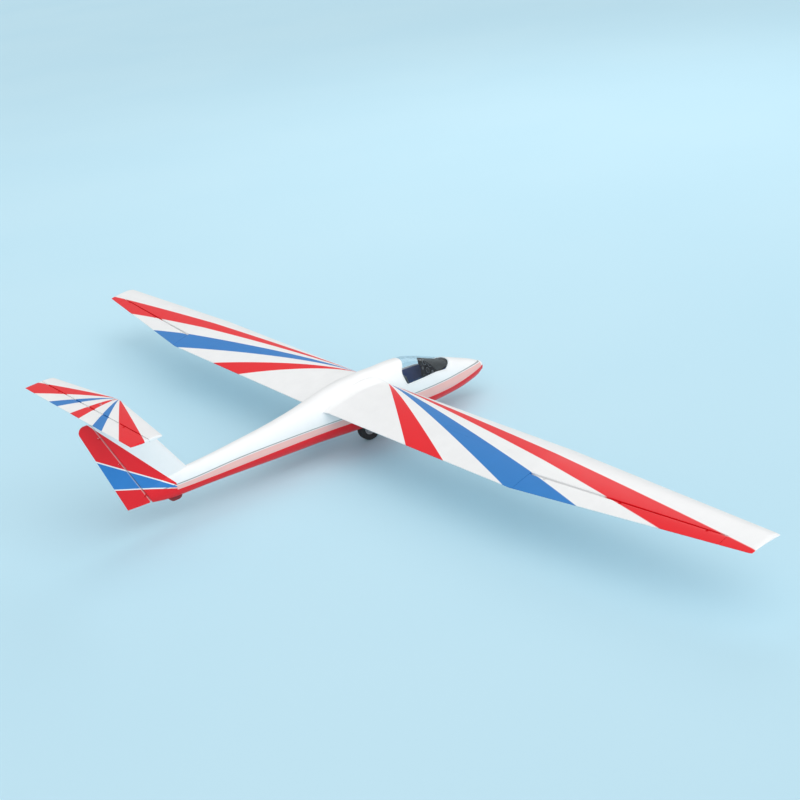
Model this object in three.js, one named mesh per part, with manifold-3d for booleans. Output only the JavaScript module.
// Scale model glider: 3 m span, T tail, shoulder wing, fixed wheel. Millimetres.
// Design axes: x to port, y aft from the nose tip, z up from the wing root leading edge.
// The glider group shifts these: origin on the ground, midway along the length, nose to -Y.
import * as THREE from "three";
import { mergeVertices } from "three/addons/utils/BufferGeometryUtils.js";
import Module from "manifold-3d";

const wasm = await Module();
wasm.setup();

// ---------- driving dimensions ----------
const LENGTH = 1346; // nose tip to the trailing edge of the elevator
const GROUND = -172; // bottom of the main wheel
const SHELL = 2.0; // fuselage laminate
const FIT = 0.35; // clearance where a part is shaped to the body

// wing
const HALF_SPAN = 1500;
const X_ROOT = 66; // wing root rib
const X_KINK = 840; // end of the constant-chord inner wing
const Y_LE = 400;
const C_ROOT = 224;
const C_TIP = 96;
const LE_SWEEP = 28; // tip leading edge behind the inner leading edge
const INCIDENCE = 3; // degrees
const DIHEDRAL = 0.6; // degrees
const CAMBER = 0.03;
const T_ROOT = 0.145; // thickness, fraction of chord
const T_TIP = 0.13;
const WING_TE = 0.003; // half thickness of the trailing edge, fraction of chord
const SKIN = 2.2;

// fittings through the wing root
const TUBE = { y: 474, z: 3 };
const TUBE_R = 8;
const DOWEL = { y: 585, z: -5.5 };
const WING_BOLT = { y: 545, z: -3.4 };
const LEAD_HOLE = { y: 434, z: 1.5 };

// linkages
const ARM = 14; // servo arm and horn radius, ailerons and rudder
const ARM_ELEVATOR = 12; // the same for the elevator
const LINK_HOLE_R = 1.15;
const WIRE_R = 0.75; // hinge wires and pushrod pins

// Body stations: y, centre z, half height, half width.
const BODY = [
  [0, -80, 4, 4], [4, -80, 10, 11], [12, -79.8, 16.8, 18], [28, -79, 25, 26.5],
  [60, -76, 35.5, 37.5], [90, -73.3, 43.8, 45], [120, -69.8, 51.8, 50],
  [160, -64.3, 60.8, 55], [200, -58.5, 69.5, 58.5], [250, -50.5, 79.5, 61.5],
  [300, -44.5, 86, 63], [350, -42.8, 86.8, 63], [400, -42.3, 85.3, 62],
  [450, -40.5, 85, 60], [500, -39.5, 82.5, 57.5], [550, -40, 79, 54],
  [600, -42.8, 73.3, 50], [650, -47, 66.5, 46.5], [700, -51.8, 60.6, 43],
  [800, -58, 51.7, 37], [900, -61.2, 44.8, 31.5], [1000, -64.2, 38.9, 27],
  [1060, -65.6, 37.2, 24], [1110, -66, 37, 19.5], [1150, -65, 34.5, 14],
  [1180, -63.5, 30.5, 9.5], [1215, -60, 25, 6.6], [1240, -57, 22, 6],
];
const BODY_EXPONENT = 2.25; // superellipse exponent of the cross-section

// fin and rudder; each line runs from its foot to its head as [y, z]
const RUDDER_HINGE = [[1193, -86], [1326, 210.2]];
const RUDDER_TE = [[1259, -83], [1347, 168]];
const FIN_LE = [[1066, -25], [1220, 210]];
const RUDDER_BOTTOM = -89;
const RUDDER_TOP = 184;
const FIN_TOP = 217.4;
const TAIL_GAP = 0.6; // between a control surface and the part ahead of it

// tailplane
const TAILPLANE_Z = 221.5;
const TAILPLANE_LE = 1216;
const TAILPLANE_LE_TIP = 1258.5;
const TAILPLANE_HALF = 313.5;
const ELEVATOR_Y = 1300; // elevator hinge
const SCREW_YS = [1236, 1270]; // front and rear tailplane screws

// wheel
const WHEEL_R = 38;
const WHEEL = { y: 449, z: GROUND + WHEEL_R };
const TREAD = 16; // flat width of the tyre

// canopy
const CANOPY_FRONT = 132;
const CANOPY_REAR = 334;
const SILL = -24;

// ---------- materials ----------
const standard = (settings) => new THREE.MeshStandardMaterial(settings);
const material = {
  white: standard({ color: 0xf4f4f2, roughness: 0.28 }),
  red: standard({ color: 0xd8121c, roughness: 0.28 }),
  blue: standard({ color: 0x2a6fb5, roughness: 0.3 }),
  cloth: standard({ color: 0x20408c, roughness: 0.85 }),
  black: standard({ color: 0x101012, roughness: 0.45 }),
  rubber: standard({ color: 0x141414, roughness: 0.8 }),
  clear: standard({ color: 0xdfeaf0, roughness: 0.05, transparent: true, opacity: 0.25 }),
  ply: standard({ color: 0xc59a63, roughness: 0.7 }),
  steel: standard({ color: 0xb9bcc0, roughness: 0.3, metalness: 1 }),
  aluminium: standard({ color: 0xc9ccd0, roughness: 0.35, metalness: 1 }),
  nylon: standard({ color: 0xededed, roughness: 0.45 }),
  grey: standard({ color: 0x8b9096, roughness: 0.5 }),
  shrink: standard({ color: 0x2450a8, roughness: 0.35 }),
};

// ---------- vectors and frames ----------
const DEG = Math.PI / 180;
const vec = (x = 0, y = 0, z = 0) => new THREE.Vector3(x, y, z);
const X_AXIS = vec(1, 0, 0);
const Y_AXIS = vec(0, 1, 0);
const Z_AXIS = vec(0, 0, 1);
const lerp = (a, b, fraction) => a + (b - a) * fraction;
const along = (point, direction, distance) => point.clone().addScaledVector(direction, distance);

// A drawing plane: outline coordinates run along u and v, thickness along w.
const frame = (origin, u, v, w) => ({ origin, u, v, w });
// Side view: u aft, v up, thickness to port.
const sideFrame = (origin = vec()) => frame(origin, Y_AXIS, Z_AXIS, X_AXIS);
// Plan view: u to port, v aft, thickness up.
const planFrame = (origin = vec()) => frame(origin, X_AXIS, Y_AXIS, Z_AXIS);

// ---------- solids ----------
// Welds a closed surface, turns its faces outward and makes a Manifold of it.
function solid(geometry) {
  const loose = geometry.index ? geometry.toNonIndexed() : geometry;
  loose.deleteAttribute("normal");
  loose.deleteAttribute("uv");
  const welded = mergeVertices(loose, 1e-4);
  const positions = welded.attributes.position;
  const triangles = new Uint32Array(welded.index.array);
  const corner = (i) => vec().fromBufferAttribute(positions, triangles[i]);
  let volume = 0;
  for (let i = 0; i < triangles.length; i += 3) {
    volume += corner(i).dot(corner(i + 1).cross(corner(i + 2)));
  }
  if (volume < 0) {
    for (let i = 0; i < triangles.length; i += 3) {
      [triangles[i + 1], triangles[i + 2]] = [triangles[i + 2], triangles[i + 1]];
    }
  }
  const vertProperties = new Float32Array(positions.array);
  return new wasm.Manifold(
    new wasm.Mesh({ numProp: 3, vertProperties, triVerts: triangles }),
  );
}

function geometryOf(piece) {
  const mesh = piece.getMesh();
  const geometry = new THREE.BufferGeometry();
  geometry.setAttribute(
    "position",
    new THREE.BufferAttribute(new Float32Array(mesh.vertProperties), 3),
  );
  geometry.setIndex(new THREE.BufferAttribute(new Uint32Array(mesh.triVerts), 1));
  geometry.computeVertexNormals();
  return geometry;
}

// Skin over rings of equal length. Strips that pair point i with point count-1-i close the ends.
function loft(rings) {
  const count = rings[0].length;
  const indices = [];
  for (let k = 0; k + 1 < rings.length; k++) {
    for (let i = 0; i < count; i++) {
      const here = k * count + i;
      const next = k * count + ((i + 1) % count);
      indices.push(here, next, here + count, next, next + count, here + count);
    }
  }
  const cap = (start, flip) => {
    for (let i = 0; i < count / 2 - 1; i++) {
      const quad = [start + i, start + i + 1, start + count - 2 - i, start + count - 1 - i];
      const order = flip ? [0, 2, 1, 0, 3, 2] : [0, 1, 2, 0, 2, 3];
      indices.push(...order.map((j) => quad[j]));
    }
  };
  cap(0, true);
  cap((rings.length - 1) * count, false);
  const coordinates = rings.flat().flatMap((point) => point.toArray());
  const geometry = new THREE.BufferGeometry();
  geometry.setAttribute("position", new THREE.Float32BufferAttribute(coordinates, 3));
  geometry.setIndex(indices);
  return solid(geometry);
}

function box(x0, x1, y0, y1, z0, z1) {
  const geometry = new THREE.BoxGeometry(x1 - x0, y1 - y0, z1 - z0);
  geometry.translate((x0 + x1) / 2, (y0 + y1) / 2, (z0 + z1) / 2);
  return solid(geometry);
}

// Turns a geometry's y axis to the direction and moves it to the origin given.
function aimed(geometry, origin, direction) {
  const turn = new THREE.Quaternion().setFromUnitVectors(Y_AXIS, direction.clone().normalize());
  geometry.applyQuaternion(turn);
  geometry.translate(origin.x, origin.y, origin.z);
  return solid(geometry);
}

// Cylinder or cone between two points.
function rod(start, end, radius, segments = 16, endRadius = radius) {
  const span = end.clone().sub(start);
  const middle = start.clone().add(end).multiplyScalar(0.5);
  const geometry = new THREE.CylinderGeometry(endRadius, radius, span.length(), segments);
  return aimed(geometry, middle, span);
}

// Rod across the body at a { y, z } place.
const spanRod = (x0, x1, { y, z }, radius, segments) =>
  rod(vec(x0, y, z), vec(x1, y, z), radius, segments);
// Upright rod in the centre plane.
const uprightRod = (y, z0, z1, radius, segments) =>
  rod(vec(0, y, z0), vec(0, y, z1), radius, segments);

// Closed profile of [radius, height] turned about an axis.
function turned(profile, origin, direction, segments) {
  const points = profile.map(([radius, height]) => new THREE.Vector2(radius, height));
  return aimed(new THREE.LatheGeometry(points, segments), origin, direction);
}

// Outline of [u, v] points in a frame, thickened from w0 to w1, with one optional round hole.
function prism(points, { origin, u, v, w }, w0, w1, hole) {
  const shape = new THREE.Shape(points.map(([x, y]) => new THREE.Vector2(x, y)));
  if (hole) {
    const circle = [];
    for (let i = 0; i <= hole.segments; i++) {
      const angle = (i / hole.segments) * 2 * Math.PI;
      const x = hole.u + hole.radius * Math.cos(angle);
      const y = hole.v + hole.radius * Math.sin(angle);
      circle.push(new THREE.Vector2(x, y));
    }
    shape.holes.push(new THREE.Path(circle));
  }
  const geometry = new THREE.ExtrudeGeometry(shape, { depth: w1 - w0, bevelEnabled: false });
  geometry.translate(0, 0, w0);
  geometry.applyMatrix4(new THREE.Matrix4().makeBasis(u, v, w));
  geometry.translate(origin.x, origin.y, origin.z);
  return solid(geometry);
}
const sidePlate = (points, x0, x1) => prism(points, sideFrame(), x0, x1);

// Corners of a rectangle from (u0, v0) to (u1, v1).
const rectangle = (u0, u1, v0, v1) => [[u0, v0], [u1, v0], [u1, v1], [u0, v1]];

// Rectangle with round corners; steps is the number of segments in each corner.
function rounded(width, height, radius, steps, centreU = 0, centreV = 0) {
  const points = [];
  const corners = [[1, 1], [-1, 1], [-1, -1], [1, -1]];
  corners.forEach(([signU, signV], quarter) => {
    for (let i = 0; i <= steps; i++) {
      const angle = (quarter * 90 + (90 * i) / steps) * DEG;
      points.push([
        centreU + signU * (width / 2 - radius) + radius * Math.cos(angle),
        centreV + signV * (height / 2 - radius) + radius * Math.sin(angle),
      ]);
    }
  });
  return points;
}

const union = (...pieces) => pieces.reduce((total, piece) => total.add(piece));
const cut = (piece, ...tools) => tools.reduce((rest, tool) => rest.subtract(tool), piece);
const biggest = (piece) => piece.decompose().sort((a, b) => b.volume() - a.volume())[0];

const group = new THREE.Group();
group.name = "glider";
function put(name, piece, finish) {
  const mesh = new THREE.Mesh(geometryOf(piece), finish);
  mesh.name = name;
  group.add(mesh);
}

// ---------- hinge parts ----------
// Pointed lug that carries a hinge wire; it reaches forward of the wire at the frame origin.
const hingeLug = (place, reach) =>
  prism([[-reach, -1.6], [1.4, -1.6], [2, 0], [1.4, 1.6], [-reach, 1.6]], place, -3, 3);
// Room for a lug in the moving surface.
function hingeNotch(place, reach, half) {
  const outline = [[-reach, -half], [-reach, half], [3.2, half], [4.2, 0], [3.2, -half]];
  return prism(outline, place, -3.9, 3.9);
}
const hingeRod = (start, end, radius) => rod(start, end, radius, 6);

// ---------- sections ----------
// Centre z, half height and half width of the body at y, by a monotone cubic through BODY.
function bodyAt(y) {
  let i = 0;
  while (i < BODY.length - 2 && y > BODY[i + 1][0]) i++;
  const start = BODY[i];
  const end = BODY[i + 1];
  const span = end[0] - start[0];
  const t = (y - start[0]) / span;
  const t2 = t * t;
  const t3 = t2 * t;
  return [1, 2, 3].map((column) => {
    const straight = (a, b) => (b[column] - a[column]) / (b[0] - a[0]);
    // Slope at station b: harmonic mean of its neighbours' slopes, level at a peak or dip.
    const slope = (a, b, c) => {
      const before = straight(a, b);
      const after = straight(b, c);
      return before * after <= 0 ? 0 : (2 * before * after) / (before + after);
    };
    const startSlope = i === 0 ? straight(start, end) : slope(BODY[i - 1], start, end);
    const endSlope =
      i === BODY.length - 2 ? straight(start, end) : slope(start, end, BODY[i + 2]);
    return (
      (2 * t3 - 3 * t2 + 1) * start[column] +
      (t3 - 2 * t2 + t) * span * startSlope +
      (-2 * t3 + 3 * t2) * end[column] +
      (t3 - t2) * span * endSlope
    );
  });
}

function bodyRing(y, inset, count) {
  const [centreZ, halfHeight, halfWidth] = bodyAt(y);
  const bulge = (value) => Math.sign(value) * Math.abs(value) ** (2 / BODY_EXPONENT);
  const points = [];
  for (let i = 0; i < count; i++) {
    const angle = ((i + 0.5) / count) * 2 * Math.PI;
    points.push(
      vec(
        (halfWidth - inset) * bulge(Math.cos(angle)),
        y,
        centreZ + (halfHeight - inset) * bulge(Math.sin(angle)),
      ),
    );
  }
  return points;
}
const bodyLoft = (stations, inset, count = 18) =>
  loft(stations.map((y) => bodyRing(y, inset, count)));

function bellyAt(y) {
  const [centreZ, halfHeight] = bodyAt(y);
  return centreZ - halfHeight;
}

// NACA four-digit half thickness at x, per unit chord.
const halfThickness = (x, thickness) =>
  5 *
  thickness *
  (0.2969 * Math.sqrt(x) - 0.126 * x - 0.3516 * x * x + 0.2843 * x ** 3 - 0.1015 * x ** 4);

// Camber line, highest at 40 % of the chord.
const CAMBER_PEAK = 0.4;
function camberAt(x, camber) {
  const peak = CAMBER_PEAK;
  return x < peak
    ? (camber / peak ** 2) * (2 * peak * x - x * x)
    : (camber / (1 - peak) ** 2) * (1 - 2 * peak + 2 * peak * x - x * x);
}

// Upper surface from the trailing edge to the nose, then the lower surface back:
// [x, z] per unit chord. The nose is a short flat at x = 0.0004.
function airfoil(thickness, camber, steps, edge = WING_TE) {
  const top = [];
  const bottom = [];
  const pushPair = (x, half) => {
    top.push([x, camberAt(x, camber) + half]);
    bottom.push([x, camberAt(x, camber) - half]);
  };
  for (let i = 0; i < steps; i++) {
    const x = 0.5 * (1 + Math.cos((Math.PI * i) / steps));
    pushPair(x, Math.max(halfThickness(x, thickness), 0) + edge * x);
  }
  pushPair(0.0004, 0.004 * (thickness / 0.14));
  return [...top, ...bottom.reverse()];
}

// Wing planform at span x.
function wingAt(x) {
  const outboard = Math.max(0, (x - X_KINK) / (HALF_SPAN - X_KINK));
  return {
    leading: LE_SWEEP * outboard,
    chord: lerp(C_ROOT, C_TIP, outboard),
    thickness: lerp(T_ROOT, T_TIP, outboard),
  };
}

// Wing section, drawn in by an inset and flattened about the camber line by squeeze.
function wingRing(x, inset = 0, squeeze = 1) {
  const { leading, chord, thickness } = wingAt(x);
  return airfoil(thickness, CAMBER, 7).map(([across, height]) => {
    const middle = camberAt(across, CAMBER) * chord;
    let offset = height * chord - middle;
    let place = across;
    if (inset) {
      offset = Math.sign(offset) * Math.max(Math.abs(offset) - inset, 0.25);
      place = lerp(across, 0.45, (2.2 * inset) / chord);
    }
    return vec(x, leading + place * chord, middle + offset * squeeze);
  });
}

// Height of the upper (side 1) or lower (side -1) wing surface, in the wing frame.
function wingSurface(x, y, side) {
  const { leading, chord, thickness } = wingAt(x);
  const across = (y - leading) / chord;
  const half = halfThickness(across, thickness) + WING_TE * across;
  return (camberAt(across, CAMBER) + side * half) * chord;
}
const upper = (x, y) => wingSurface(x, y, 1);
const lower = (x, y) => wingSurface(x, y, -1);

// ---------- rudder hinge ----------
const yOnLine = ([foot, head], z) =>
  lerp(foot[0], head[0], (z - foot[1]) / (head[1] - foot[1]));
const hingePoint = (z) => vec(0, yOnLine(RUDDER_HINGE, z), z);
const hingeDir = vec(
  0,
  RUDDER_HINGE[1][0] - RUDDER_HINGE[0][0],
  RUDDER_HINGE[1][1] - RUDDER_HINGE[0][1],
).normalize();
const hingeAft = vec(0, hingeDir.z, -hingeDir.y); // square to the hinge
const hingeFrame = (z) => frame(hingePoint(z), hingeAft, X_AXIS, hingeDir);
// radius of the rudder's round nose
const noseRadius = (z) => lerp(6.0, 4.2, (z - RUDDER_BOTTOM) / (RUDDER_TOP - RUDDER_BOTTOM));

const RUDDER_POSTS = [-66, 50, 140]; // lug heights: one on the fuselage, two on the fin
const rudderLug = (z) => hingeLug(hingeFrame(z), noseRadius(z) + 6);
const rudderBore = (radius) => hingeRod(hingePoint(-100), hingePoint(200), radius);

// Everything behind the fin's rear face, which follows the rudder nose.
function behindFin() {
  const face = (z) => yOnLine(RUDDER_HINGE, z) - (noseRadius(z) + TAIL_GAP) / hingeAft.y;
  const [low, high] = [-140, 260];
  return sidePlate([[face(low), low], [face(high), high], [1500, high], [1500, low]], -120, 120);
}

// ---------- linkage places ----------
const RUDDER_ROD_Z = -50;
const rudderHornHinge = hingePoint(RUDDER_ROD_Z);
const rudderHornHole = along(rudderHornHinge, X_AXIS, ARM);
const rudderShaft = vec(0, rudderHornHinge.y - 590, rudderHornHinge.z);
const rudderArmHole = along(rudderShaft, X_AXIS, ARM);

// The elevator rod climbs through the fin; its arm and horn stand square to it,
// to port of the centre plane.
const ELEVATOR_ROD = 368;
const ELEVATOR_LINK_X = 1.8;
const climb = vec(0, 0.631, 0.776);
const climbAcross = vec(0, 0.776, -0.631);
const climbDir = climb.clone().normalize();
const elevatorArmDir = climbAcross.clone().normalize();
const elevatorArm = elevatorArmDir.clone().multiplyScalar(ARM_ELEVATOR);
const elevatorHinge = vec(0, ELEVATOR_Y, TAILPLANE_Z);
const elevatorServoCentre = along(elevatorHinge, climbDir, -ELEVATOR_ROD);
const elevatorShaft = along(elevatorServoCentre, X_AXIS, ELEVATOR_LINK_X);
const elevatorArmHole = elevatorShaft.clone().add(elevatorArm);
const elevatorHornOrigin = along(elevatorHinge, X_AXIS, ELEVATOR_LINK_X);

// ---------- fuselage ----------
const bodyOuter = bodyLoft(
  [0, 4, 14, 32, 66, 120, 200, 300, 400, 500, 600, 700, 850, 1000, 1100, 1180, 1240],
  0,
);

// Wing section across the body; grow enlarges it.
const stubRing = (x, grow) =>
  airfoil(T_ROOT, CAMBER, 7).map(([across, height]) => {
    const aft = lerp(across, 0.5, -grow / 110) * C_ROOT;
    const rise = height * C_ROOT * (1 + grow / 14);
    return vec(x, Y_LE + aft, rise - aft * Math.tan(INCIDENCE * DEG) + 0.7);
  });
const stubLoft = (stations) => loft(stations.map(([x, grow]) => stubRing(x, grow)));

// The body widens to a flat root rib on each side. Stations: x, grow.
const wingStub = () =>
  stubLoft([[-65.6, 0], [-58, 0.6], [-48, 2.4], [48, 2.4], [58, 0.6], [65.6, 0]]);
const stubHollow = () => stubLoft([[-62.6, -2.2], [62.6, -2.2]]);

// Canopy opening: everything above a sloping sill, raked at the back; grow enlarges it.
const canopyWedge = (grow) =>
  sidePlate(
    [
      [CANOPY_FRONT - grow, SILL + 10 - grow],
      [CANOPY_FRONT + 43 - grow * 0.4, SILL - 6 - grow],
      [CANOPY_FRONT + 88, SILL - grow],
      [CANOPY_REAR + 2 + grow * 0.6, SILL - grow],
      [CANOPY_REAR + 12 + grow, SILL + 41],
      [CANOPY_REAR - 24 + grow, SILL + 73],
      [CANOPY_REAR - 30 + grow, 90],
      [CANOPY_FRONT - grow, 90],
    ],
    -100,
    100,
  );

const wheelWell = () => sidePlate(rounded(98, 60, 22, 5, WHEEL.y, WHEEL.z - 10), -15.5, 15.5);
// rudder pushrod exit on the port side
const rodExit = () => box(9.8, 24, 1096, 1190, RUDDER_ROD_Z - 4, RUDDER_ROD_Z + 9.5);

// Hollow body with its openings, before the fittings in the tail.
function bareFuselage() {
  const bodyInner = bodyLoft(
    [16, 32, 66, 120, 200, 300, 400, 500, 600, 700, 850, 1000, 1100, 1172],
    SHELL,
  );
  return cut(
    union(bodyOuter, wingStub()),
    bodyInner,
    stubHollow(),
    behindFin(),
    canopyWedge(0),
    wheelWell(),
    spanRod(-90, 90, TUBE, TUBE_R + 0.35, 16),
    spanRod(-90, 90, DOWEL, 3.35, 12),
    spanRod(-90, 90, WING_BOLT, 3.2, 12),
    spanRod(-90, 90, LEAD_HOLE, 5, 12),
    rodExit(),
    box(-5, 5, 1092, 1150, -50, 0), // elevator pushrod passage into the fin
  );
}

// Upright plate with the elevator servo's cutout.
function servoPlate() {
  const cutoutFrame = frame(vec(0, 1067.83, -64.02), climbAcross, climb, X_AXIS);
  return cut(
    box(-8, -6, 1036, 1096, -120, -20).intersect(bodyLoft([1000, 1060, 1110], SHELL - 0.6)),
    prism(rectangle(-6.6, 6.6, -6.6, 17.6), cutoutFrame, -30, 0),
  );
}

// Solid end of the tail boom.
const tailBlock = () =>
  cut(
    bodyLoft([1150, 1180, 1239], 1.1),
    behindFin(),
    rodExit(),
    box(-40, 40, 1100, 1172, -140, 40),
  );

const fuselageShell = (bare) =>
  cut(union(bare, servoPlate(), tailBlock(), rudderLug(RUDDER_POSTS[0])), rudderBore(1.05));

// ---------- fin ----------
function finRing(z) {
  const leading = yOnLine(FIN_LE, z);
  const chord = yOnLine(RUDDER_TE, z) - leading;
  const thickness = lerp(0.095, 0.09, (z + 25) / 239);
  return airfoil(thickness, 0, 6).map(([across, half]) =>
    vec(half * chord, leading + across * chord, z),
  );
}

function finSolid(bare) {
  const channelFrame = frame(
    elevatorServoCentre.clone().add(elevatorArm),
    climb.clone().normalize(),
    climbAcross,
    X_AXIS,
  );
  const channel = prism(rectangle(-30, 420, -9, 9), channelFrame, -2.6, 1.9);
  // clears the elevator above the rear of the fin
  const topRelief = sidePlate(
    [[1289, 230], [1289, FIN_TOP - 4], [1318, 201], [1345, 190], [1345, 230]],
    -30,
    30,
  );
  const blank = cut(
    loft([-62, 30, 120, FIN_TOP].map(finRing)),
    behindFin(),
    bodyOuter.scale([1.012, 1, 1]).add(bodyOuter.translate([0, 0, FIT])),
    channel,
    topRelief,
    ...SCREW_YS.map((y) => uprightRod(y, 180, 240, 1.8, 8)),
    bare.translate([0, 0, FIT]),
    bare.translate([FIT, 0, 0]),
    bare.translate([-FIT, 0, 0]),
  );
  const lugs = RUDDER_POSTS.slice(1).map(rudderLug);
  return cut(union(biggest(blank), ...lugs), rudderBore(1.05));
}

const bare = bareFuselage();
put("fuselage_shell", fuselageShell(bare), material.white);
put("fin", finSolid(bare), material.white);

// ---------- rudder ----------
function rudderRing(z) {
  const edge = 0.6; // half thickness of the trailing edge
  const trailing = yOnLine(RUDDER_TE, z);
  const radius = noseRadius(z);
  const hinge = yOnLine(RUDDER_HINGE, z);
  const middleHalf = lerp(radius, edge, 0.35) + 0.4;
  const middleY = lerp(hinge, trailing, 0.35);
  return [
    vec(edge, trailing, z),
    vec(middleHalf, middleY, z),
    vec(radius, hinge, z),
    vec(-radius, hinge, z),
    vec(-middleHalf, middleY, z),
    vec(-edge, trailing, z),
  ];
}

// Waste outside the rounded top rear corner: y, z.
const RUDDER_CORNER = [
  [1362, 190], [1362, 150], [1341.8, 150], [1345.4, 162], [1345.6, 170],
  [1342, 178], [1334, 183], [1322, 184.6], [1322, 190],
];

function rudderSolid() {
  const nose = rod(
    hingePoint(RUDDER_BOTTOM + 2),
    hingePoint(RUDDER_TOP - 2),
    noseRadius(RUDDER_BOTTOM),
    14,
    noseRadius(RUDDER_TOP),
  );
  return cut(
    union(loft([RUDDER_BOTTOM, RUDDER_TOP].map(rudderRing)), nose),
    sidePlate(RUDDER_CORNER, -20, 20),
    rudderBore(1.0),
    ...RUDDER_POSTS.map((z) => hingeNotch(hingeFrame(z), 12, 7.36)),
  );
}

// Plate square to the hinge, on the port side.
function rudderHorn(rudder) {
  const radius = noseRadius(RUDDER_ROD_Z);
  const outline = [
    [1.2, radius + 0.35], [9, radius - 0.4], [9, radius + 2.2],
    [3.0, ARM - 1], [2.2, ARM + 2.0], [0, ARM + 2.9],
    [-2.2, ARM + 2.0], [-2.9, ARM], [-2.0, ARM - 2.6],
  ];
  return biggest(
    cut(
      prism(outline, hingeFrame(RUDDER_ROD_Z), -0.8, 0.8),
      rod(
        along(rudderHornHole, hingeDir, -3),
        along(rudderHornHole, hingeDir, 3),
        LINK_HOLE_R,
        12,
      ),
      rudder.translate([0.3, 0, 0]),
    ),
  );
}

const rudder = rudderSolid();
put("rudder", rudder, material.red);
put(
  "rudder_hinge_wire",
  hingeRod(hingePoint(RUDDER_BOTTOM + 4), hingePoint(RUDDER_TOP - 6), WIRE_R),
  material.steel,
);
put("rudder_horn", rudderHorn(rudder), material.nylon);

// ---------- servos and pushrods ----------
// Servo with its shaft at the frame origin along w, body below, long side along -u.
function servo(place, { length, thickness, height }) {
  const { origin, w } = place;
  const middle = -length / 2 + thickness / 2;
  const flange = -height * 0.42;
  const block = (extent, w0, w1) =>
    prism(rounded(extent, thickness, 1, 1, middle, 0), place, w0, w1);
  return union(
    block(length, -height, -4),
    block(length + 10, flange, flange + 1.6),
    rod(along(origin, w, -4.5), along(origin, w, -1.6), thickness * 0.42, 12),
    rod(along(origin, w, -2), along(origin, w, 1.6), 2, 8),
  );
}

// Arm from the shaft at the frame origin out along u, with its link hole at the reach.
function servoArm(place, reach) {
  const { origin, w } = place;
  const top = 1.2;
  const halfCircle = (centre, radius, start) =>
    [0, 1, 2, 3, 4, 5, 6].map((i) => {
      const angle = (start + (180 * i) / 6) * DEG;
      return [centre + radius * Math.cos(angle), radius * Math.sin(angle)];
    });
  const outline = [...halfCircle(0, 3.6, 90), ...halfCircle(reach, 2.3, -90)];
  const hole = { u: reach, v: 0, radius: LINK_HOLE_R, segments: 10 };
  return cut(
    union(
      prism(outline, place, -1.1, top, hole),
      rod(along(origin, w, top - 0.2), along(origin, w, top + 1.6), 3.1, 12),
    ),
    rod(along(origin, w, -6), along(origin, w, 1.95), 2.3, 12),
  );
}

// Wire beside the arm and horn, offset by side along the pin axis, with a cross pin at each
// end. A sleeve radius adds a thicker middle part.
function pushrod(startHole, endHole, pinAxis, { side, radius, sleeve }) {
  const start = along(startHole, pinAxis, side);
  const end = along(endHole, pinAxis, side);
  const sign = Math.sign(side);
  const pin = (hole) =>
    rod(along(hole, pinAxis, -sign * 2), along(hole, pinAxis, side + sign * 0.6), WIRE_R, 8);
  const wire = union(rod(start, end, radius, 8), pin(startHole), pin(endHole));
  if (!sleeve) return wire;
  const direction = end.clone().sub(start).normalize();
  return union(wire, rod(along(start, direction, 16), along(end, direction, -16), sleeve, 8));
}

// The rudder servo is raked so its shaft lies parallel to the hinge.
put(
  "rudder_servo",
  servo(frame(rudderShaft, hingeAft, vec(-1, 0, 0), hingeDir), {
    length: 28,
    thickness: 13.5,
    height: 28,
  }),
  material.black,
);
put(
  "rudder_servo_arm",
  servoArm(frame(rudderShaft, X_AXIS, hingeAft, hingeDir), ARM),
  material.nylon,
);
put(
  "rudder_pushrod",
  pushrod(rudderArmHole, rudderHornHole, hingeDir, { side: 3.8, radius: 1, sleeve: 1.6 }),
  material.steel,
);

// The elevator servo is in the tail boom, shaft across the body.
put(
  "elevator_servo",
  servo(frame(elevatorShaft, climbDir.clone().negate(), elevatorArmDir, X_AXIS), {
    length: 23,
    thickness: 12,
    height: 17,
  }),
  material.black,
);
put(
  "elevator_servo_arm",
  servoArm(frame(elevatorShaft, elevatorArmDir, climbDir, X_AXIS), ARM_ELEVATOR),
  material.nylon,
);
put(
  "elevator_pushrod",
  pushrod(elevatorArmHole, elevatorHornOrigin.clone().add(elevatorArm), X_AXIS, {
    side: -2.6,
    radius: 1,
  }),
  material.steel,
);

// ---------- tailplane and elevator ----------
const TAILPLANE_T = 0.1; // thickness, fraction of chord
const TAILPLANE_EDGE = 0.004; // half thickness of the trailing edge, fraction of chord
const ELEVATOR_NOSE_R = 4.3;
const ELEVATOR_HALF = TAILPLANE_HALF - 0.2;
const ELEVATOR_POSTS = [-190, 190];
const tailplaneLeading = (x) =>
  lerp(TAILPLANE_LE, TAILPLANE_LE_TIP, Math.abs(x) / TAILPLANE_HALF);
const elevatorFrame = (x) => sideFrame(vec(x, ELEVATOR_Y, TAILPLANE_Z));
const elevatorRod = (half, radius, segments = 6) =>
  spanRod(-half, half, elevatorHinge, radius, segments);

// Section thinned at the tips; the leading edge is set back at the tips and at the centre.
function tailplaneRing(x) {
  const tip = Math.abs(x) > TAILPLANE_HALF - 1;
  const setBack = tip ? 1.2 : Math.abs(x) < 10 ? 0.9 : 0;
  const squeeze = tip ? 0.72 : 1;
  const fullChord = LENGTH - tailplaneLeading(x);
  const leading = tailplaneLeading(x) + setBack;
  const chord = LENGTH - leading;
  return airfoil(TAILPLANE_T, 0, 6, TAILPLANE_EDGE).map(([across, half]) =>
    vec(x, leading + across * chord, TAILPLANE_Z + half * fullChord * squeeze),
  );
}

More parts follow.
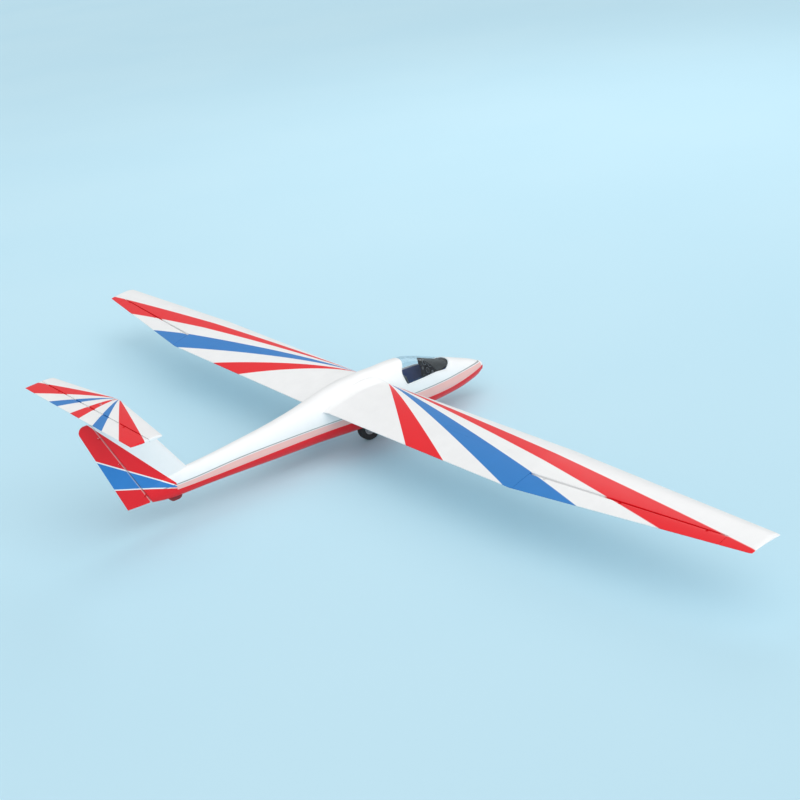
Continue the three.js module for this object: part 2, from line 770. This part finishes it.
function tailplaneSolid() {
  const half = TAILPLANE_HALF;
  const stations = [-half, -half + 1.5, -150, -6, 6, 150, half - 1.5, half];
  const rear = ELEVATOR_Y - ELEVATOR_NOSE_R - TAIL_GAP;
  const blank = cut(
    loft(stations.map(tailplaneRing)),
    box(-400, 400, rear, 1500, TAILPLANE_Z - 30, TAILPLANE_Z + 30),
  );
  const lugs = ELEVATOR_POSTS.map((x) => hingeLug(elevatorFrame(x), ELEVATOR_NOSE_R + 6));
  return cut(
    union(blank, ...lugs),
    elevatorRod(400, 1.1),
    ...SCREW_YS.map((y) => uprightRod(y, 190, 250, 1.9, 8)),
    ...SCREW_YS.map((y) => uprightRod(y, TAILPLANE_Z + 3.8, 250, 4.1, 10)),
    box(-7.5, 7.5, 1200, 1310, 190, FIN_TOP + 0.3), // flat seat on the fin
  );
}

function elevatorRing(x) {
  const leading = tailplaneLeading(x);
  const chord = LENGTH - leading;
  const half = (y) => {
    if (y === ELEVATOR_Y) return ELEVATOR_NOSE_R;
    const across = (y - leading) / chord;
    const section = (halfThickness(across, TAILPLANE_T) + TAILPLANE_EDGE * across) * chord;
    const aft = (y - ELEVATOR_Y) / (LENGTH - ELEVATOR_Y);
    return Math.min(section, lerp(ELEVATOR_NOSE_R, 0.55, aft) + 0.5);
  };
  const stations = [LENGTH, 1330, 1315, ELEVATOR_Y];
  const top = stations.map((y) => vec(x, y, TAILPLANE_Z + half(y)));
  const bottom = stations.map((y) => vec(x, y, TAILPLANE_Z - half(y)));
  return [...top, ...bottom.reverse()];
}

const ELEVATOR_HORN_HALF = 0.8; // half thickness of the horn
function elevatorSolid() {
  const slotHalf = ELEVATOR_HORN_HALF + 0.3;
  return cut(
    union(
      loft([-ELEVATOR_HALF, 0, ELEVATOR_HALF].map(elevatorRing)),
      elevatorRod(ELEVATOR_HALF, ELEVATOR_NOSE_R, 12),
    ),
    elevatorRod(400, 1.05),
    ...ELEVATOR_POSTS.map((x) => hingeNotch(elevatorFrame(x), 8, 7.4)),
    box(
      ELEVATOR_LINK_X - slotHalf,
      ELEVATOR_LINK_X + slotHalf,
      ELEVATOR_Y + 2,
      ELEVATOR_Y + 14,
      TAILPLANE_Z - 9,
      TAILPLANE_Z + 1.6,
    ),
  );
}

function elevatorHorn() {
  const { y, z } = elevatorArm;
  const outline = [
    [2.5, 1.2], [12, 0.8], [13.2, -4.2],
    [y + 2.6, z - 1.2], [y + 1.4, z - 2.6], [y - 1.2, z - 2.7],
    [y - 2.8, z - 1.0], [y - 2.8, z + 0.8], [3.2, -3.2],
  ];
  return cut(
    prism(outline, sideFrame(elevatorHornOrigin), -ELEVATOR_HORN_HALF, ELEVATOR_HORN_HALF),
    spanRod(-9, 9, elevatorHinge.clone().add(elevatorArm), LINK_HOLE_R, 12),
  );
}

// Countersunk socket screw: radius, height above the underside of the head.
const TAILPLANE_SCREW = [
  [0, -34], [1.4, -32.5], [1.4, 0], [3.7, 0], [3.7, 1.4],
  [3.0, 2.3], [1.4, 2.3], [1.4, 1.2], [0, 1.2],
];

put("tailplane", tailplaneSolid(), material.white);
put("elevator", elevatorSolid(), material.white);
put("elevator_horn", elevatorHorn(), material.nylon);
put("elevator_hinge_wire", elevatorRod(ELEVATOR_HALF - 4, WIRE_R), material.steel);
["front", "rear"].forEach((end, i) => {
  const seat = vec(0, SCREW_YS[i], TAILPLANE_Z + 4.2);
  put(`tailplane_screw_${end}`, turned(TAILPLANE_SCREW, seat, Z_AXIS, 10), material.steel);
});

// ---------- tail skid and tow hook ----------
// Side outline: y, z.
const SKID = [[1092, -98], [1097, -108], [1104, -112], [1124, -112], [1131, -107], [1138, -98]];
const HOOK_Y = 372;
// Side outline of the hook about HOOK_Y on the belly: aft, up.
const HOOK = [
  [-9, 0.5], [-9, -2], [-4, -10.5], [5, -12.5], [7, -10.8],
  [6, -9.2], [-0.5, -7.6], [1.5, -2], [9, -1], [9, 0.5],
];
const loweredBody = bodyOuter.translate([0, 0, -FIT]);

// Plate on the belly with a hook that points down and aft.
function towHook() {
  const belly = bellyAt(HOOK_Y);
  const plateFrame = frame(vec(0, HOOK_Y, belly - 1.7), Y_AXIS, vec(-1, 0, 0), Z_AXIS);
  const screwHole = (y) => uprightRod(y, -160, -120, 1.6, 10);
  return cut(
    union(
      prism(rounded(34, 12, 3, 3), plateFrame, -1.4, 0.4),
      prism(HOOK, sideFrame(vec(0, HOOK_Y, belly - 2)), -1.5, 1.5),
    ),
    loweredBody,
    screwHole(HOOK_Y - 12.5),
    screwHole(HOOK_Y + 12.5),
  );
}

put("tail_skid", cut(sidePlate(SKID, -7, 7), loweredBody), material.red);
put("tow_hook", towHook(), material.aluminium);

// ---------- main wheel ----------
const wheelCentre = vec(0, WHEEL.y, WHEEL.z);
// Half profiles: radius, distance from the wheel's middle plane.
// The low-profile tyre has a flat tread.
const TYRE = [
  [22.1, 6], [21.6, 9.4], [25.5, 11], [31, 11], [35.6, 10.2], [37.4, 9.1],
  [WHEEL_R, TREAD / 2],
];
const HUB = [[3.1, 8], [7, 8], [7.4, 3.5], [17.5, 2.6], [18.6, 6.2], [21.6, 6.4]];

// Ring turned about the axle from a half profile and its mirror image.
function wheelRing(half, segments) {
  const profile = [...half.map(([radius, x]) => [radius, -x]), ...half.slice().reverse()];
  profile.push(profile[0]);
  return turned(profile, wheelCentre, X_AXIS, segments);
}

// Two cheeks hung from a plate, with a cross strip at each end.
function wheelCarrier() {
  const { y, z } = WHEEL;
  const cheekOutline = [
    [y - 30, -92], [y - 30, -108], [y - 9, z - 5], [y - 5, z - 8],
    [y + 5, z - 8], [y + 9, z - 5], [y + 30, -108], [y + 30, -92],
  ];
  const [inside, outside] = [12.4, 14.6];
  const strip = (half, y0, y1) => box(-half, half, y + y0, y + y1, -92.6, -89);
  return cut(
    union(
      sidePlate(cheekOutline, -outside, -inside),
      sidePlate(cheekOutline, inside, outside),
      strip(outside, -46, 46),
      strip(48.6, -46, -38),
      strip(43.6, 38, 46),
    ),
    spanRod(-30, 30, WHEEL, 3.25, 14),
  );
}

put("wheel_tyre", wheelRing(TYRE, 24), material.rubber);
put("wheel_hub", wheelRing(HUB, 20), material.grey);
put("wheel_axle", spanRod(-15.2, 15.2, WHEEL, 2.9, 14), material.steel);
put("wheel_carrier", wheelCarrier(), material.aluminium);

// ---------- cockpit ----------
const FLOOR = -100;

// Liner that follows the inside of the body, with a floor.
function cockpitTub() {
  const slab = (z0, z1) => box(-100, 100, 100, 400, z0, z1);
  const outer = bodyLoft([150, 200, 300, 326], SHELL + 1.6);
  const inner = bodyLoft([153, 200, 300, 323], SHELL + 3.2);
  return outer
    .intersect(slab(FLOOR - 3, SILL - 1.5))
    .subtract(inner.intersect(slab(FLOOR, 100)));
}

// Underside of the reclined seat: y, z.
const SEAT = [
  [238, -94], [244, -92.4], [266, -88], [288, -84],
  [297, -76], [308, -48], [317, -20], [320, -10],
];

// Band between two distances above a profile, closed into an outline.
function band(profile, near, far) {
  const offset = (distance) =>
    profile.map(([y, z], i) => {
      const before = profile[Math.max(i - 1, 0)];
      const after = profile[Math.min(i + 1, profile.length - 1)];
      const run = after[0] - before[0];
      const rise = after[1] - before[1];
      const length = Math.hypot(run, rise);
      return [y + (-rise / length) * distance, z + (run / length) * distance];
    });
  return [...offset(near), ...offset(far).reverse()];
}

// Panel face on a pedestal, with a hood under the front of the canopy.
function instrumentPanel() {
  // hood stations: y, inset inside the shell
  const hoodStations = [[144, 7], [185, 4.8], [232, 4.8]];
  const hoodRings = hoodStations.map(([y, inset]) => bodyRing(y, SHELL + inset, 20));
  const hood = cut(
    loft(hoodRings).intersect(box(-70, 70, 139, 233, SILL + 1, 40)),
    bodyLoft([196, 240], SHELL + 8, 20).intersect(box(-70, 70, 205, 240, SILL - 10, 40)),
  );
  const face = bodyLoft([203, 207.5], SHELL + 5.2, 20).intersect(
    box(-36, 36, 200, 210, -60, 40),
  );
  const pedestal = box(-15, 15, 168, 207, -99.6, -45);
  const pedestalHead = box(-24, 24, 160, 207, -46, SILL + 2);
  return union(hood, face, pedestal, pedestalHead);
}

// Shaft, grip and conical foot.
const controlStick = () =>
  union(
    rod(vec(0, 226, -99.5), vec(0, 225, -62), 2, 8, 1.8),
    rod(vec(0, 225, -64), vec(0, 222, -40), 3.4, 10, 4.2),
    rod(vec(0, 226, -99.6), vec(0, 226, -93), 7, 12, 3),
  );

put("cockpit_tub", cockpitTub(), material.blue);
put("seat_pan", sidePlate(band(SEAT, 0, 2), -31, 31), material.grey);
put("seat_cushion", sidePlate(band(SEAT.slice(1), 2.6, 10), -27, 27), material.cloth);
put("instrument_panel", instrumentPanel(), material.black);
put("control_stick", controlStick(), material.black);

// ---------- canopy ----------
const CANOPY_GAP = 0.45;
const FRAME_WIDTH = 3.5;
const canopyOuter = bodyLoft([120, 200, 300, 400], 0);
const canopyInner = (inset) => bodyLoft([119, 200, 300, 401], inset);
const canopyBlank = (margin) => canopyOuter.intersect(canopyWedge(-CANOPY_GAP - margin));

put(
  "canopy_frame",
  cut(canopyBlank(0), canopyWedge(-FRAME_WIDTH), canopyInner(3)),
  material.white,
);
put("canopy_glazing", cut(canopyBlank(FRAME_WIDTH), canopyInner(1.3)), material.clear);

// ---------- radio gear ----------
// Flat board trimmed to the inside of the body.
const plank = (y0, y1, z0, z1) =>
  bodyLoft([y0, (y0 + y1) / 2, y1], SHELL + 1.2, 20).intersect(
    box(-100, 100, y0, y1, z0, z1),
  );

// Board with two posts that hold the raked rudder servo.
function radioTray() {
  const post = (u0, u1, foot) =>
    prism(
      rectangle(u0, u1, -12.1, foot),
      frame(rudderShaft, hingeAft, hingeDir, X_AXIS),
      -6,
      6,
    );
  const board = union(
    plank(520, 640, -96, -93),
    post(-26, -21.7, -60),
    post(7.2, 11.5, -50).intersect(box(-20, 20, 400, 800, -95.5, 0)),
  );
  // pad across the rear end
  const pad = plank(618, 640, -94, -91.8);
  return union(cut(board, box(-20, 20, 400, 800, -130, -96)), pad);
}

const switchBody = () =>
  cut(
    prism(rounded(12, 24, 1.5, 2), frame(vec(26, 352, -70), Z_AXIS, Y_AXIS, X_AXIS), 0, 9),
    box(24, 28.5, 344, 360, -72.2, -67.8),
  );
const switchSlider = () =>
  union(
    box(22.6, 28.1, 345.2, 350.2, -71.6, -68.4),
    box(22.6, 25.7, 344.6, 350.8, -73, -67),
  ).intersect(box(20, 28.1, 340, 365, -73, -67));

const batteryPack = () => prism(rounded(34, 66, 4, 3), planFrame(vec(0, 93, -96.6)), 0, 30);
const receiver = () => prism(rounded(22, 40, 2, 2), planFrame(vec(-26, 540, -92.6)), 0, 13);

put("battery_tray", plank(50, 140, -100, -97), material.ply);
put("battery_pack", batteryPack(), material.shrink);
put("radio_tray", radioTray(), material.ply);
put("receiver", receiver(), material.black);
put("switch_body", switchBody(), material.black);
put("switch_slider", switchSlider(), material.nylon);

// ---------- wing joiner ----------
put(
  "wing_joiner_tube",
  cut(spanRod(-250, 250, TUBE, TUBE_R, 16), spanRod(-260, 260, TUBE, TUBE_R - 1.2, 16)),
  material.aluminium,
);
put("anti_rotation_dowel", spanRod(-84, 84, DOWEL, 3, 14), material.steel);

// ---------- wing frame ----------
// x along the span, y aft from the inner leading edge, z normal to the chord plane.
const WING = new THREE.Matrix4()
  .makeTranslation(0, Y_LE, 0)
  .multiply(new THREE.Matrix4().makeRotationY(-DIHEDRAL * DEG))
  .multiply(new THREE.Matrix4().makeRotationX(-INCIDENCE * DEG));
const toWing = (piece) => piece.transform(WING.elements);

// ---------- aileron hinge, in the wing frame ----------
const AILERON_IN = 850;
const AILERON_OUT = 1420;
const AILERON_FRACTION = 0.745; // hinge, fraction of chord
const AILERON_POSTS = [900, 1130, 1370];
const AILERON_END_GAP = 0.6;

// Hinge place on the planform at span x: middle of the section and its nose radius.
function aileronSection(x) {
  const { leading, chord } = wingAt(x);
  const y = leading + AILERON_FRACTION * chord;
  const [top, bottom] = [upper(x, y), lower(x, y)];
  return { centre: vec(x, y, (top + bottom) / 2), radius: (top - bottom) / 2 - 0.15 };
}
const inboard = aileronSection(AILERON_IN);
const outboard = aileronSection(AILERON_OUT);
const aileronDir = outboard.centre.clone().sub(inboard.centre).normalize();
const aileronAft = vec(-aileronDir.y, aileronDir.x, 0).normalize();
const aileronUp = vec().crossVectors(aileronDir, aileronAft).normalize();
const aileronPoint = (x) =>
  along(inboard.centre, aileronDir, (x - AILERON_IN) / aileronDir.x);
const aileronRadius = (x) =>
  lerp(inboard.radius, outboard.radius, (x - AILERON_IN) / (AILERON_OUT - AILERON_IN));
const aileronFrame = (origin) => frame(origin, aileronAft, aileronUp, aileronDir);
const aileronBore = (radius) =>
  hingeRod(aileronPoint(AILERON_IN - 20), aileronPoint(AILERON_OUT + 20), radius);

// ---------- aileron linkage and servo bay ----------
const SERVO_X = 980; // span station of the servo arm and horn
const SERVO_AHEAD = 62; // servo shaft ahead of the hinge
const hornHinge = aileronPoint(SERVO_X);
const servoShaft = along(along(hornHinge, aileronAft, -SERVO_AHEAD), aileronUp, 2);
const aileronArmHole = along(servoShaft, aileronUp, -ARM);
const aileronHornHole = along(hornHinge, aileronUp, -ARM);

// Plane through three points of the lower surface round the servo; w points into the wing.
function makeHatchFrame() {
  const skinPoint = (dx, dy) => {
    const x = servoShaft.x + dx;
    const y = servoShaft.y + dy;
    return vec(x, y, lower(x, y));
  };
  const front = skinPoint(-22, -26);
  const aft = skinPoint(-22, 22).sub(front).normalize();
  const normal = vec().crossVectors(skinPoint(22, -2).sub(front), aft).normalize();
  if (normal.z < 0) normal.negate();
  const span = vec().crossVectors(aft, normal).normalize();
  return frame(skinPoint(-8, 5), span, aft, normal);
}
const hatchFrame = makeHatchFrame();
const hatchPrism = (width, height, w0, w1) =>
  prism(rounded(width, height, 3, 1), hatchFrame, w0, w1);

function servoHatch() {
  const slotOrigin = along(along(servoShaft, aileronAft, 3), aileronDir, 1.3);
  const slotFrame = frame(slotOrigin, aileronDir, aileronAft, aileronUp);
  // block on the hatch, on the inboard side of the servo
  const block = (u0, u1) =>
    cut(
      prism(rectangle(u0, u1, -20, 5), aileronFrame(servoShaft), -15, -10.5),
      hatchPrism(90, 90, -40, 0.4),
    );
  return cut(
    union(hatchPrism(51.2, 55.2, 0, 1.3), block(-10.4, -5.9), block(17.9, 22.4)),
    prism(rounded(8.4, 38, 1.5, 2), slotFrame, -30, 3.5),
  );
}

// ---------- airbrake, in the wing frame ----------
const BRAKE_IN = 470;
const BRAKE_OUT = 720;
const BRAKE_Y = 114; // slot centre behind the leading edge
const BRAKE_HALF = 7.2; // half width of the slot
const BRAKE_SKIN = upper(600, BRAKE_Y);
const BRAKE_FLOOR = BRAKE_SKIN - 23;
const BRAKE_WALL = 1.2;

// Box centred on the slot.
const brakeSlab = (x0, x1, half, z0, z1) =>
  box(x0, x1, BRAKE_Y - half, BRAKE_Y + half, z0, z1);

function brakeBox() {
  const half = 6.8;
  return cut(
    brakeSlab(BRAKE_IN, BRAKE_OUT, half, BRAKE_FLOOR, BRAKE_SKIN - 3.4),
    brakeSlab(
      BRAKE_IN + BRAKE_WALL,
      BRAKE_OUT - 24,
      half - BRAKE_WALL,
      BRAKE_FLOOR + BRAKE_WALL,
      60,
    ),
  );
}

// Cap strip that follows the upper skin.
function brakeCap() {
  const gap = 0.3;
  const half = BRAKE_HALF - gap;
  const stations = [BRAKE_IN + gap, (BRAKE_IN + BRAKE_OUT) / 2, BRAKE_OUT - gap];
  const rings = stations.map((x) => {
    const top = [BRAKE_Y + half, BRAKE_Y, BRAKE_Y - half].map((y) => vec(x, y, upper(x, y)));
    const bottom = top.map((point) => along(point, Z_AXIS, -1.6));
    return [...top, ...bottom.reverse()];
  });
  return loft(rings);
}

// Cap with an upright blade below it, pierced by five round holes.
function brakeBlade() {
  const top = BRAKE_SKIN - 0.8;
  const holeZ = top - 10.5;
  const hole = (x) => rod(vec(x, BRAKE_Y - 4, holeZ), vec(x, BRAKE_Y + 4, holeZ), 5, 10);
  return cut(
    union(
      brakeCap(),
      brakeSlab(BRAKE_IN + 2.2, BRAKE_OUT - 26, 1.2, BRAKE_FLOOR + 2, top),
    ),
    ...[0, 1, 2, 3, 4].map((i) => hole(500 + i * 44)),
  );
}

// ---------- wing panel ----------
const RIBS = [360, X_KINK, 1150];

// Everything behind a line ahead of the aileron nose by gap, longer than it by extra at each end.
function aileronBay(gap, extra) {
  const front = (x) => along(aileronPoint(x), aileronAft, -(aileronRadius(x) + gap)).y;
  const [x0, x1] = [AILERON_IN - extra, AILERON_OUT + extra];
  return prism([[x0, front(x0)], [x1, front(x1)], [x1, 400], [x0, 400]], planFrame(), -60, 60);
}

// Inner space of the wing; what is cut from it here stays solid.
function wingHollow() {
  const wall = (x0, x1, y0, y1) => box(x0, x1, y0, y1, -60, 60);
  const space = cut(
    loft([X_ROOT + 3, X_KINK, HALF_SPAN - 12].map((x) => wingRing(x, SKIN))),
    wall(0, 1150, 92, 95), // spar
    aileronBay(3.2, 3),
    wall(BRAKE_IN - 4, BRAKE_OUT + 4, BRAKE_Y - 11, BRAKE_Y + 11),
    hatchPrism(58, 62, -10, 40),
    wall(0, 262, 60, 92.5), // round the joiner tube
    ...RIBS.map((x) => wall(x - 1.2, x + 1.2, 50, 130)),
  );
  const leadOpening = box(60, 80, 29, 37, 0, 6);
  return union(space, leadOpening);
}

function wingPanel() {
  const outer = loft(
    [X_ROOT, X_KINK, HALF_SPAN - 6, HALF_SPAN].map((x) =>
      wingRing(x, 0, x === HALF_SPAN ? 0.45 : 1),
    ),
  );
  const lugs = AILERON_POSTS.map((x) =>
    hingeLug(aileronFrame(aileronPoint(x)), aileronRadius(x) + 4),
  );
  const panel = cut(
    union(cut(outer, wingHollow(), aileronBay(0.5, AILERON_END_GAP)), ...lugs),
    aileronBore(1.05),
    hatchPrism(52, 56, -6, 1.6), // hatch recess
    hatchPrism(46, 50, -6, 21), // servo bay
    brakeSlab(BRAKE_IN - 0.4, BRAKE_OUT + 0.4, BRAKE_HALF, BRAKE_FLOOR - 0.4, 60),
  );
  return biggest(
    cut(
      toWing(panel),
      spanRod(0, 256, TUBE, TUBE_R + 0.45, 16),
      spanRod(0, 86, DOWEL, 3.3, 14),
      spanRod(0, 84, WING_BOLT, 2.6, 14),
    ),
  );
}

// ---------- aileron ----------
function aileronRing(x) {
  const hinge = aileronPoint(x);
  const { leading, chord } = wingAt(x);
  const trailing = leading + chord;
  const radius = aileronRadius(x);
  const stations = [trailing, lerp(hinge.y, trailing, 0.66), lerp(hinge.y, trailing, 0.33)];
  const top = stations.map((y) => vec(x, y, upper(x, y)));
  const bottom = stations.map((y) => vec(x, y, lower(x, y)));
  return [
    ...top,
    vec(x, hinge.y, hinge.z + radius),
    vec(x, hinge.y, hinge.z - radius),
    ...bottom.reverse(),
  ];
}

function aileronSolid() {
  const x0 = AILERON_IN + AILERON_END_GAP;
  const x1 = AILERON_OUT - AILERON_END_GAP;
  const nose = rod(
    aileronPoint(AILERON_IN + 0.9),
    aileronPoint(AILERON_OUT - 0.9),
    aileronRadius(AILERON_IN),
    12,
    aileronRadius(AILERON_OUT),
  );
  const hornSlot = prism(rectangle(2.4, 12.4, -20, -1.6), aileronFrame(hornHinge), -1.1, 1.1);
  return cut(
    union(loft([x0, x1].map(aileronRing)), nose).intersect(box(x0, x1, 0, 400, -60, 60)),
    aileronBore(1.0),
    ...AILERON_POSTS.map((x) => hingeNotch(aileronFrame(aileronPoint(x)), 12, 10)),
    hornSlot,
  );
}

function aileronHorn() {
  const outline = [
    [2.8, -2], [12, -2], [11.4, -7.6],
    [2.9, -ARM + 0.8], [2.4, -ARM - 1.8], [0, -ARM - 2.8],
    [-2.4, -ARM - 1.8], [-2.8, -ARM], [-2.4, -ARM + 2.2],
    [2.8, -aileronRadius(SERVO_X) - 0.4],
  ];
  const hole = { u: 0, v: -ARM, radius: LINK_HOLE_R, segments: 12 };
  return prism(outline, aileronFrame(hornHinge), -0.8, 0.8, hole);
}

const aileronServo = () =>
  servo(frame(servoShaft, aileronAft.clone().negate(), aileronUp, aileronDir), {
    length: 23,
    thickness: 11,
    height: 24,
  });
const aileronServoArm = () =>
  servoArm(frame(servoShaft, aileronUp.clone().negate(), aileronAft, aileronDir), ARM);
const aileronPushrod = () =>
  pushrod(aileronArmHole, aileronHornHole, aileronDir, { side: 2.6, radius: 0.9 });
const aileronWire = () =>
  hingeRod(aileronPoint(AILERON_IN + 3), aileronPoint(AILERON_OUT - 3), WIRE_R);

// Wing bolt: radius, distance outboard from the inner face of its head.
const BOLT = [[0, 0], [7, 0], [7, 4], [2.9, 4], [2.9, 6.9], [2.3, 7.3], [2.3, 24], [0, 25]];
const wingBolt = () => turned(BOLT, vec(58.2, WING_BOLT.y, WING_BOLT.z), X_AXIS, 16);

// Everything on the port wing, mirrored for the starboard one.
const wingParts = [
  ["wing", wingPanel(), material.white],
  ["aileron", toWing(aileronSolid()), material.white],
  ["aileron_hinge_wire", toWing(aileronWire()), material.steel],
  ["aileron_horn", toWing(aileronHorn()), material.nylon],
  ["aileron_servo", toWing(aileronServo()), material.black],
  ["aileron_servo_arm", toWing(aileronServoArm()), material.nylon],
  ["aileron_pushrod", toWing(aileronPushrod()), material.steel],
  ["servo_hatch", toWing(servoHatch()), material.white],
  ["airbrake_box", toWing(brakeBox()), material.grey],
  ["airbrake_blade", toWing(brakeBlade()), material.aluminium],
  ["wing_bolt", wingBolt(), material.nylon],
];
for (const [name, piece, finish] of wingParts) put(`${name}_left`, piece, finish);
for (const [name, piece, finish] of wingParts) {
  put(`${name}_right`, piece.mirror([1, 0, 0]), finish);
}

// ---------- joints and placing ----------
const GROUP_OFFSET = [0, -LENGTH / 2, -GROUND];
const wingPoint = (point) => point.clone().applyMatrix4(WING).toArray();
const wingDirection = (direction) => direction.clone().transformDirection(WING).toArray();

// Pivots (p), axes and link holes of the moving pieces, in design axes.
group.userData.joints = {
  rudder: { p: hingePoint(40).toArray(), axis: hingeDir.toArray() },
  rudderArm: { p: rudderShaft.toArray(), hole: rudderArmHole.toArray() },
  elevator: { p: elevatorHinge.toArray() },
  elevatorArm: { p: elevatorShaft.toArray(), hole: elevatorArmHole.toArray() },
  aileron: { p: wingPoint(hornHinge), axis: wingDirection(aileronDir) },
  aileronArm: { p: wingPoint(servoShaft), hole: wingPoint(aileronArmHole) },
  airbrake: { axis: wingDirection(Z_AXIS) },
  offset: GROUP_OFFSET,
};

group.position.set(...GROUP_OFFSET);
const root = new THREE.Group();
root.add(group);
export default root;
